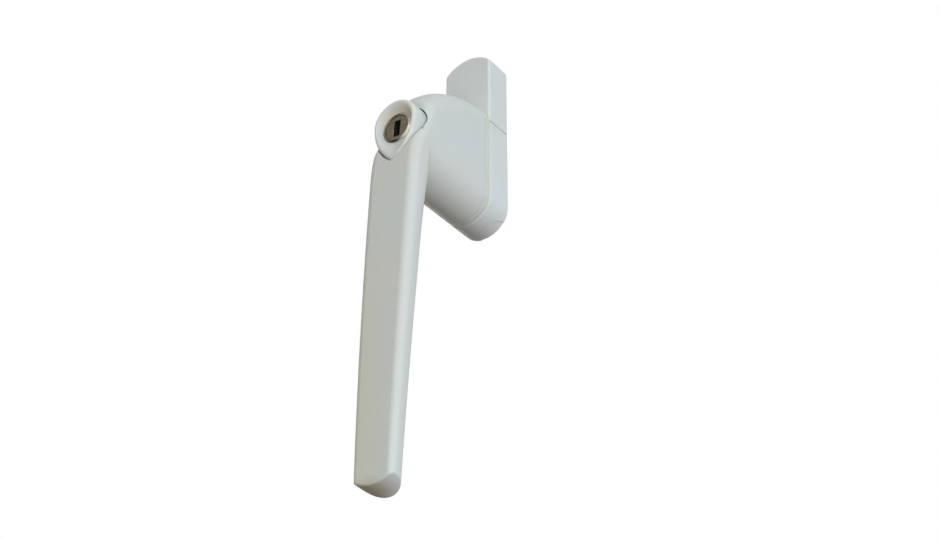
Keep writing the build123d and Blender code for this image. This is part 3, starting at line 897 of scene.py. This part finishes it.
def teardrop(inset):
    # round above, two long arcs down to the chin
    half = button["width"] / 2 - inset
    side = button["sideRadius"] - inset
    sideCentre = button["sideRadius"] - button["width"] / 2
    chin = button["chinRadius"]
    rise = button["rise"]
    chinCentre = rise - math.sqrt((side - chin) ** 2 - sideCentre**2)
    turn = math.degrees(math.atan2(rise - chinCentre, sideCentre))
    top, left, bottom, right = button["arcSteps"]
    return (
        arcPoints((0, rise), half, 0, 180, top)
        + arcPoints((sideCentre, rise), side, 180, 180 + turn, left)
        + arcPoints((0, chinCentre), chin, 180 + turn, 360 - turn, bottom)
        + arcPoints((-sideCentre, rise), side, 360 - turn, 360, right)
    )


def dishCircle(radius):
    points = []
    angles = button["circleAngles"]
    for start, end, steps in zip(angles, angles[1:], button["arcSteps"]):
        points += arcPoints((0, 0), radius, start, end, steps)
    return points


def atDepth(points, depth):
    return [(x * mm, -depth * mm, z * mm + lockAxis[2]) for x, z in points]


def makeButtonShell():
    # straight flanks, a rolled lip and a dish that steepens gently towards the lock
    front = button["front"]
    rear = front - button["length"]
    lip = button["lipRound"]
    cone = button["dishCone"]
    rings = [
        atDepth(dishCircle(button["bore"]), rear),
        atDepth(teardrop(button["rearEdge"]), rear),
        atDepth(teardrop(0), rear + button["rearEdge"]),
    ]
    for step in range(button["lipSteps"] + 1):
        turn = math.pi / 2 * step / button["lipSteps"]
        rings.append(atDepth(teardrop(lip * (1 - math.cos(turn))), front - lip + lip * math.sin(turn)))
    edge = teardrop(lip)
    floor = dishCircle(button["dishRadius"])
    for step in range(1, button["dishSteps"] + 1):
        share = step / button["dishSteps"]
        fall = cone * share + (1 - cone) * (1 - math.cos(math.pi / 2 * share))
        blend = [(a[0] + (b[0] - a[0]) * share, a[1] + (b[1] - a[1]) * share) for a, b in zip(edge, floor)]
        rings.append(atDepth(blend, front - button["dishDepth"] * fall))
    rings.append(atDepth(dishCircle(button["bore"]), front - button["dishDepth"]))
    return meshFromRings("buttonShell", rings)


lockRim = {
    "steps": 96,
    "profile": [  # radius and depth, millimetres
        (4.28, 44.20),
        (4.28, 44.27),
        (4.10, 44.27),
        (4.10, 44.40),
        (4.16, 44.52),
        (4.25, 44.58),
        (4.34, 44.57),
        (4.42, 44.51),
        (4.54, 44.36),
        (4.62, 44.29),
        (4.76, 44.26),
        (5.00, 44.24),
        (5.00, 44.20),
    ],
}


def makeLockRim():
    rings = []
    for radius, depth in lockRim["profile"]:
        rings.append(atDepth(arcPoints((0, 0), radius, 0, 360, lockRim["steps"]), depth))
    return meshFromRings("lockRim", rings)


addPiece("buttonShell", makeButtonShell(), buttonWhite, "push_button", "button_plastic", "push_button")
addPiece("lockRim", makeLockRim(), rimNickel, "push_button", "lock_nickel")
print("button shell and lock rim are made")


# repeated parts, grown with Geometry Nodes

def startTree(name, inputs):
    tree = bpy.data.node_groups.new(name, "GeometryNodeTree")
    for label, value in inputs.items():
        kind = {int: "NodeSocketInt", float: "NodeSocketFloat"}[type(value)]
        tree.interface.new_socket(label, in_out="INPUT", socket_type=kind)
    tree.interface.new_socket("Material", in_out="INPUT", socket_type="NodeSocketMaterial")
    tree.interface.new_socket("Geometry", in_out="OUTPUT", socket_type="NodeSocketGeometry")
    return tree, tree.nodes.new("NodeGroupInput").outputs


def grow(tree, kind, settings=None, **inputs):
    # adds a geometry node and feeds the inputs that its settings leave enabled
    node = tree.nodes.new("GeometryNode" + kind)
    for key, value in (settings or {}).items():
        setattr(node, key, value)
    for key, value in inputs.items():
        socket = [s for s in node.inputs if s.name == key.replace("_", " ") and s.enabled][0]
        feed(tree, socket, value)
    return node.outputs[0]


def joined(tree, *parts):
    join = tree.nodes.new("GeometryNodeJoinGeometry")
    for part in parts:
        tree.links.new(part, join.inputs[0])
    return join.outputs[0]


def finishTree(tree, given, geometry):
    real = grow(tree, "RealizeInstances", Geometry=geometry)
    smooth = grow(tree, "SetShadeSmooth", Geometry=real)
    painted = grow(tree, "SetMaterial", Geometry=smooth, Material=given["Material"])
    tree.links.new(painted, tree.nodes.new("NodeGroupOutput").inputs["Geometry"])


def growMesh(tree, values, material):
    holder = bpy.data.objects.new(tree.name, bpy.data.meshes.new(tree.name))
    scene.collection.objects.link(holder)
    modifier = holder.modifiers.new(tree.name, "NODES")
    modifier.node_group = tree
    for item in tree.interface.items_tree:
        if item.in_out == "INPUT":
            modifier[item.identifier] = material if item.name == "Material" else values[item.name]
    graph = bpy.context.evaluated_depsgraph_get()
    mesh = bpy.data.meshes.new_from_object(holder.evaluated_get(graph))
    bpy.data.objects.remove(holder)
    return mesh


def repeated(tree, shape, count, step, turn):
    # count copies of a shape, each a step further on and turned once more about X
    line = grow(tree, "MeshLine", Count=count, Start_Location=(0, 0, 0), Offset=step)
    angle = calc(tree, "MULTIPLY", grow(tree, "InputIndex"), turn)
    spin = put(tree, "CombineXYZ", X=angle).outputs[0]
    return grow(tree, "InstanceOnPoints", Points=line, Instance=shape, Rotation=spin)


detentSprings = {
    "Coil Radius": 0.95 * mm,
    "Wire Radius": 0.175 * mm,
    "Length": 5.35 * mm,
    "Turns": 5.0,
    "Gap": 18.90 * mm,
}
detentDepth = 3.5 * mm
coilSteps = 32
wireSteps = 12


def coilShape(tree, given):
    # a round wire wound up along Z
    spiral = grow(
        tree, "CurveSpiral", Resolution=coilSteps, Rotations=given["Turns"],
        Start_Radius=given["Coil Radius"], End_Radius=given["Coil Radius"], Height=given["Length"],
    )
    wire = grow(tree, "CurvePrimitiveCircle", Resolution=wireSteps, Radius=given["Wire Radius"])
    return grow(tree, "CurveToMesh", Curve=spiral, Profile_Curve=wire, Fill_Caps=True)


def makeDetentSprings():
    # one above the spindle and one below, the lower one turned over
    tree, given = startTree("detentSpringPair", detentSprings)
    step = put(tree, "CombineXYZ", Z=calc(tree, "MULTIPLY", given["Gap"], -1.0)).outputs[0]
    finishTree(tree, given, repeated(tree, coilShape(tree, given), 2, step, math.pi))
    mesh = growMesh(tree, detentSprings, springSteel)
    height = detentSprings["Gap"] / 2 + detentSprings["Wire Radius"]
    mesh.transform(Matrix.Translation((0, -detentDepth, height)))
    return mesh


returnSpring = {
    "Coil Radius": 3.3 * mm,
    "Wire Radius": 0.25 * mm,
    "Length": 9.1 * mm,
    "Turns": 6.0,
}


def makeReturnSpring():
    # stands on the bore's floor and reaches out to the barrel
    tree, given = startTree("returnCoil", returnSpring)
    finishTree(tree, given, coilShape(tree, given))
    mesh = growMesh(tree, returnSpring, springSteel)
    low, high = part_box("return_spring")
    place = Matrix.Translation((0, high.y - returnSpring["Wire Radius"], lockAxis[2]))
    mesh.transform(place @ Matrix.Rotation(math.pi / 2, 4, "X"))
    return mesh, high.y, high.y - low.y


wafers = {
    "Width": 4.4 * mm,
    "Height": 7.8 * mm,
    "Corner": 0.9 * mm,
    "Window Width": 3.0 * mm,
    "Window Height": 5.2 * mm,
    "Window Corner": 0.3 * mm,
    "Thickness": 1.0 * mm,
    "Count": 4,
    "Pitch": 2.4 * mm,
}
cornerSteps = 6
weldGap = 0.0001 * mm


def rounded(tree, width, height, corner):
    shape = grow(tree, "CurvePrimitiveQuadrilateral", Width=width, Height=height)
    return grow(tree, "FilletCurve", {"mode": "POLY"}, Curve=shape, Radius=corner, Count=cornerSteps)


def slab(tree, face, thickness):
    # a flat face as a closed plate, grown along its normal
    up = grow(tree, "ExtrudeMesh", Mesh=face, Offset_Scale=thickness, Individual=False)
    plate = joined(tree, up, grow(tree, "FlipFaces", Mesh=face))
    return grow(tree, "MergeByDistance", Geometry=plate, Distance=weldGap)


def makeWafers():
    tree, given = startTree("waferStack", wafers)
    outer = rounded(tree, given["Width"], given["Height"], given["Corner"])
    window = rounded(tree, given["Window Width"], given["Window Height"], given["Window Corner"])
    lowered = grow(tree, "Transform", Geometry=window, Translation=(0, -plug["slotDrop"], 0))
    face = grow(tree, "FillCurve", Curve=joined(tree, outer, lowered))
    plate = slab(tree, face, given["Thickness"])
    upright = grow(tree, "Transform", Geometry=plate, Rotation=(math.pi / 2, 0, 0))
    step = put(tree, "CombineXYZ", Y=given["Pitch"]).outputs[0]
    finishTree(tree, given, repeated(tree, upright, given["Count"], step, 0.0))
    mesh = growMesh(tree, wafers, waferBrass)
    low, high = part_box("wafers")
    mesh.transform(Matrix.Translation((0, low.y + wafers["Thickness"], lockAxis[2])))
    return mesh


addPiece("detentSpringPair", makeDetentSprings(), springSteel, "base", "spring_steel", "detent_springs")
coilMesh, springFoot, springLength = makeReturnSpring()
coil = addPiece("returnCoil", coilMesh, springSteel, "lever", "spring_steel", "return_spring")
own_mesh(coil)
addPiece("waferStack", makeWafers(), waferBrass, "key_plug", "wafer_brass", "wafers")
print("springs and wafers are grown")
